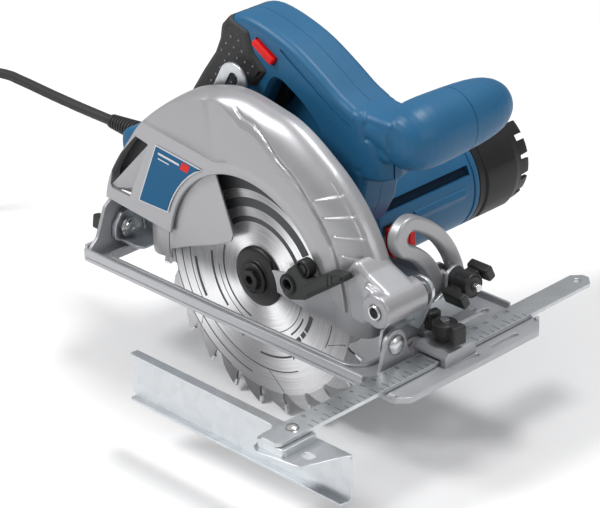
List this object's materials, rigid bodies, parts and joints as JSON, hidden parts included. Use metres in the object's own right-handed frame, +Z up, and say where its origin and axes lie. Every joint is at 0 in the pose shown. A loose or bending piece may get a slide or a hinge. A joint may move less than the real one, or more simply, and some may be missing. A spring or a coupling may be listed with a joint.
{
  "type": "circular saw",
  "caption": "Corded hand circular saw with blade, gear-driven motor, swinging lower guard, tilting and depth-adjusting shoe, parallel fence and coiled lead.",
  "frame": {"origin": "centre of the shoe's rectangular outline, on its underside", "axes": "+X forward along the cut, +Y from the blade towards the motor, +Z up, away from the workpiece"},
  "size_m": [0.6501, 0.331, 0.2554],
  "materials": {
    "shoe_casting": "light grey cast aluminium, satin",
    "guard_paint": "silver-grey paint, satin",
    "blue_plastic": "fine texture",
    "black_plastic": "fine texture",
    "black_rubber": "soft, dotted grip",
    "cable_rubber": "smooth rubber sheath",
    "red_plastic": "semi gloss",
    "zinc_sheet": "zinc plated, spangled",
    "bright_steel": "bright",
    "blade_steel": "ground and printed",
    "dark_steel": "oiled steel",
    "copper": "wound copper and laminations",
    "blue_label": "printed panel, no text"
  },
  "bodies": {
    "shoe": {"shoe_plate": "shoe_casting", "bevel_quadrant": "guard_paint", "front_tilt_rivet": "bright_steel", "rear_tilt_bolt": "bright_steel"},
    "rear_knob": {"rear_bevel_knob": "black_plastic"},
    "fence": {"fence_bar": "zinc_sheet", "fence_plate": "zinc_sheet", "fence_rivet": "bright_steel"},
    "fence_screw": {"fence_knob": "black_plastic"},
    "tilt_frame": {"front_tilt_bracket": "zinc_sheet", "depth_pivot_pin": "bright_steel", "rear_tilt_bracket": "zinc_sheet", "depth_quadrant": "zinc_sheet", "bevel_clamp_bolt": "bright_steel"},
    "bevel_clamp": {"bevel_knob": "black_plastic"},
    "main": {"upper_guard": "guard_paint", "guard_label_panel": "blue_label", "gear_case_cover": "guard_paint", "spindle_bearing_front": "bright_steel", "motor_housing": "blue_plastic", "bearing_bridge": "dark_steel", "spindle_bearing_rear": "bright_steel", "armature_bearing_front": "bright_steel", "stator_core": "dark_steel", "armature_bearing_rear": "bright_steel", "carbon_brush_front": "black_plastic", "carbon_brush_rear": "black_plastic", "motor_end_cap": "black_plastic", "handle_shell_right": "blue_plastic", "handle_shell_left": "blue_plastic", "rubber_grip": "black_rubber", "switch_module": "black_plastic", "front_handle_inner": "blue_plastic", "front_handle_outer": "blue_plastic", "cord_gland": "cable_rubber", "handle_screw": "bright_steel", "depth_clamp_bolt": "bright_steel", "cord_lead": "cable_rubber", "cord_coil": "cable_rubber", "cord_tail": "cable_rubber", "plug_body": "black_rubber", "plug_pin_1": "bright_steel", "plug_pin_2": "bright_steel"},
    "depth_lever": {"depth_clamp_lever": "black_plastic"},
    "trigger": {"trigger": "black_plastic"},
    "lock_off": {"lock_off_button": "red_plastic"},
    "spindle_lock": {"spindle_lock_button": "red_plastic"},
    "armature": {"armature_shaft": "bright_steel", "armature_core": "copper", "commutator": "copper", "cooling_fan": "black_plastic"},
    "spindle": {"spindle_shaft": "bright_steel", "spindle_gear": "dark_steel", "inner_flange": "dark_steel", "saw_blade": "blade_steel", "outer_flange": "dark_steel", "blade_bolt": "bright_steel"},
    "lower_guard": {"lower_guard": "guard_paint", "guard_lever": "black_plastic", "guard_spring": "bright_steel"}
  },
  "joints": [
    {"name": "bevel_tilt", "type": "hinge", "parent": "shoe", "child": "tilt_frame", "pos_m": [-0.005, -0.038, 0.019], "axis": [1, 0, 0], "range_deg": [0, 45]},
    {"name": "depth_pivot", "type": "hinge", "parent": "tilt_frame", "child": "main", "pos_m": [0.116, 0.009, 0.048], "axis": [0, 1, 0], "range_deg": [0, 33]},
    {"name": "spindle_spin", "type": "hinge", "parent": "main", "child": "spindle", "pos_m": [-0.005, -0.026, 0.025], "axis": [0, 1, 0], "continuous": true},
    {"name": "armature_spin", "type": "hinge", "parent": "main", "child": "armature", "pos_m": [0.007, 0.044, 0.0481], "axis": [0, 1, 0], "continuous": true},
    {"name": "lower_guard_swing", "type": "hinge", "parent": "main", "child": "lower_guard", "pos_m": [-0.005, -0.031, 0.025], "axis": [0, -1, 0], "range_deg": [0, 160], "stiffness_Nm_per_rad": 0.15, "springref_deg": 189.08},
    {"name": "trigger_press", "type": "hinge", "parent": "main", "child": "trigger", "pos_m": [-0.018, 0.009, 0.145], "axis": [0, 1, 0], "range_deg": [0, 9], "stiffness_Nm_per_rad": 0.6, "springref_deg": -9.74},
    {"name": "lock_off_press", "type": "slide", "parent": "main", "child": "lock_off", "axis": [0, 1, 0], "range_m": [0, 0.004], "stiffness_N_per_m": 250, "springref_m": -0.002},
    {"name": "spindle_lock_press", "type": "slide", "parent": "main", "child": "spindle_lock", "axis": [-1, 0, 0], "range_m": [0, 0.004], "stiffness_N_per_m": 250, "springref_m": -0.002},
    {"name": "depth_lever_turn", "type": "hinge", "parent": "main", "child": "depth_lever", "pos_m": [-0.069, -0.015, 0.043], "axis": [0, 1, 0], "range_deg": [0, 40]},
    {"name": "fence_slide", "type": "slide", "parent": "shoe", "child": "fence", "axis": [0, 1, 0], "range_m": [-0.1, 0.055]},
    {"name": "fence_knob_turn", "type": "hinge", "parent": "shoe", "child": "fence_screw", "pos_m": [0.127, -0.006, 0.018], "axis": [0, 0, 1], "range_deg": [-89, 0]},
    {"name": "bevel_knob_turn", "type": "hinge", "parent": "tilt_frame", "child": "bevel_clamp", "pos_m": [0.119, 0.02334, 0.03893], "axis": [1, 0, 0], "range_deg": [-90, 60]},
    {"name": "rear_knob_turn", "type": "hinge", "parent": "shoe", "child": "rear_knob", "pos_m": [-0.149, -0.038, 0.019], "axis": [1, 0, 0], "range_deg": [-90, 90]}
  ],
  "couplings": [
    {"joint": "armature_spin", "follows": "spindle_spin", "ratio": -3.4444}
  ]
}
